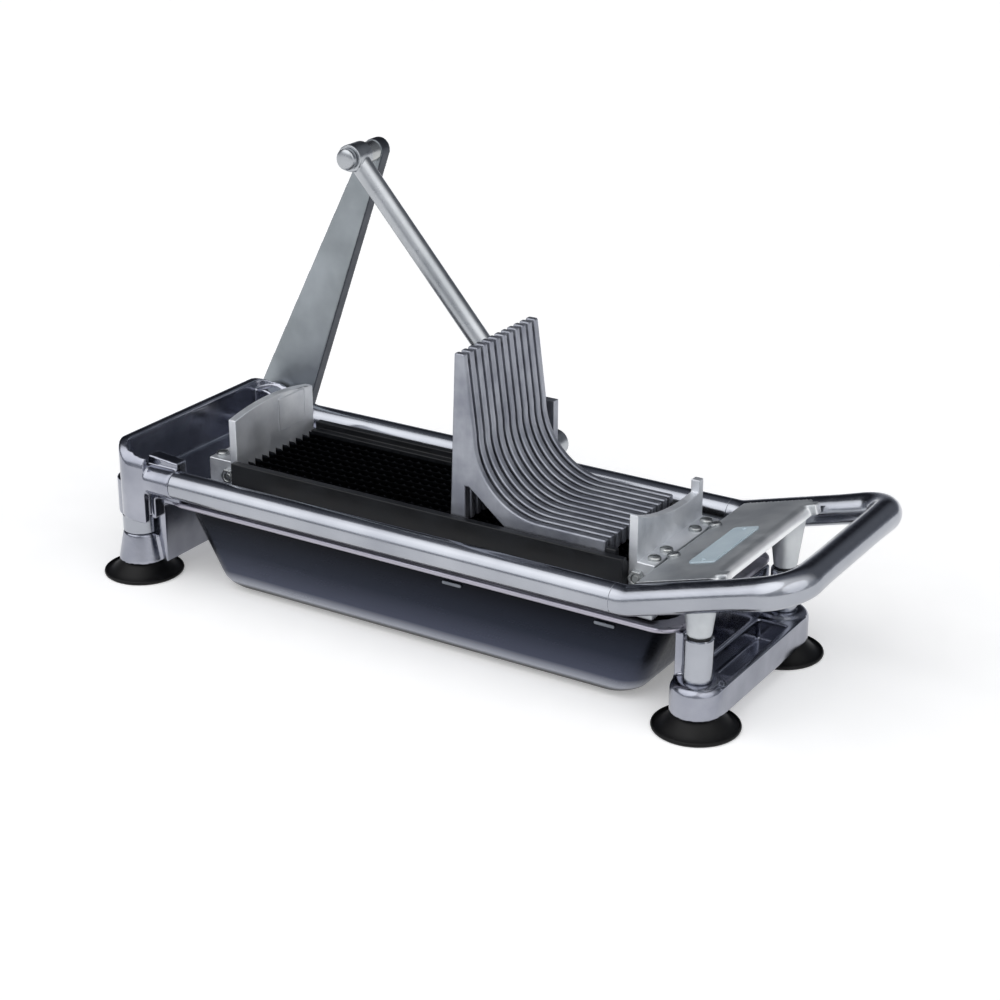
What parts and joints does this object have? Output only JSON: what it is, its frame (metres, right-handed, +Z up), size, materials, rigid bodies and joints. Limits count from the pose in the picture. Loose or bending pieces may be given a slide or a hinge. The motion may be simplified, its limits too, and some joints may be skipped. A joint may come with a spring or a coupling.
{
  "type": "tomato slicer",
  "caption": "Bench fruit slicer with a finned comb that slides over a row of blades, moved by a swinging arm and push rod, on suction feet over a pull-out catch pan.",
  "frame": {"origin": "middle of the overall box, on the counter under the suction cups", "axes": "+X towards the hand grip, +Y towards the swinging arm, +Z up"},
  "size_m": [0.4454, 0.1598, 0.241],
  "materials": {
    "polished_aluminium": "polished",
    "satin_aluminium": "satin",
    "stainless_steel": "brushed",
    "blade_steel": "ground edge",
    "zinc_steel": "plated",
    "black_nylon": "moulded",
    "black_rubber": "moulded",
    "bronze": "turned"
  },
  "bodies": {
    "frame": {"rear_casting": "polished_aluminium", "near_rail": "polished_aluminium", "far_rail": "polished_aluminium", "grip_loop": "polished_aluminium", "nose_casting": "polished_aluminium", "front_foot": "polished_aluminium", "rear_foot": "polished_aluminium", "front_posts": "polished_aluminium", "rear_posts": "polished_aluminium", "front_blade_holder": "polished_aluminium", "rear_blade_holder": "polished_aluminium", "front_near_cup": "black_rubber", "front_far_cup": "black_rubber", "rear_near_cup": "black_rubber", "rear_far_cup": "black_rubber", "leg_washers": "black_nylon", "near_side_bar": "black_nylon", "far_side_bar": "black_nylon", "comb_stops": "black_nylon", "blades": "blade_steel", "leg_bolts": "zinc_steel", "front_blade_pin": "zinc_steel", "rear_blade_pin": "zinc_steel", "blade_pin_nuts": "zinc_steel", "bar_screws": "zinc_steel", "holder_screws": "zinc_steel", "nose_screws": "zinc_steel", "pivot_bolt": "zinc_steel", "pivot_washer": "zinc_steel"},
    "arm": {"swing_arm": "satin_aluminium", "pivot_bush": "bronze", "apex_pin": "zinc_steel", "apex_spacer": "zinc_steel", "apex_nut": "zinc_steel"},
    "rod": {"push_rod": "stainless_steel", "link_pin": "zinc_steel", "link_clip": "zinc_steel"},
    "comb": {"comb_fins": "satin_aluminium", "comb_spine": "satin_aluminium", "comb_tie_rods": "zinc_steel"},
    "pan": {"catch_pan": "stainless_steel"}
  },
  "joints": [
    {"name": "arm_swing", "type": "hinge", "parent": "frame", "child": "arm", "pos_m": [-0.1912, 0.0706, 0.066], "axis": [0, -1, 0], "range_deg": [0, 45.2]},
    {"name": "rod_swing", "type": "hinge", "parent": "arm", "child": "rod", "pos_m": [-0.11814, 0.0501, 0.23324], "axis": [0, -1, 0], "range_deg": [-46.2, 0]},
    {"name": "comb_slide", "type": "slide", "parent": "frame", "child": "comb", "axis": [1, 0, 0], "range_m": [-0.1404, 0]},
    {"name": "pan_slide", "type": "slide", "parent": "frame", "child": "pan", "axis": [0, -1, 0], "range_m": [0, 0.14]}
  ],
  "couplings": [
    {"joint": "rod_swing", "follows": "arm_swing", "ratio": -1},
    {"joint": "comb_slide", "follows": "arm_swing", "m_per_rad": -0.17778}
  ]
}
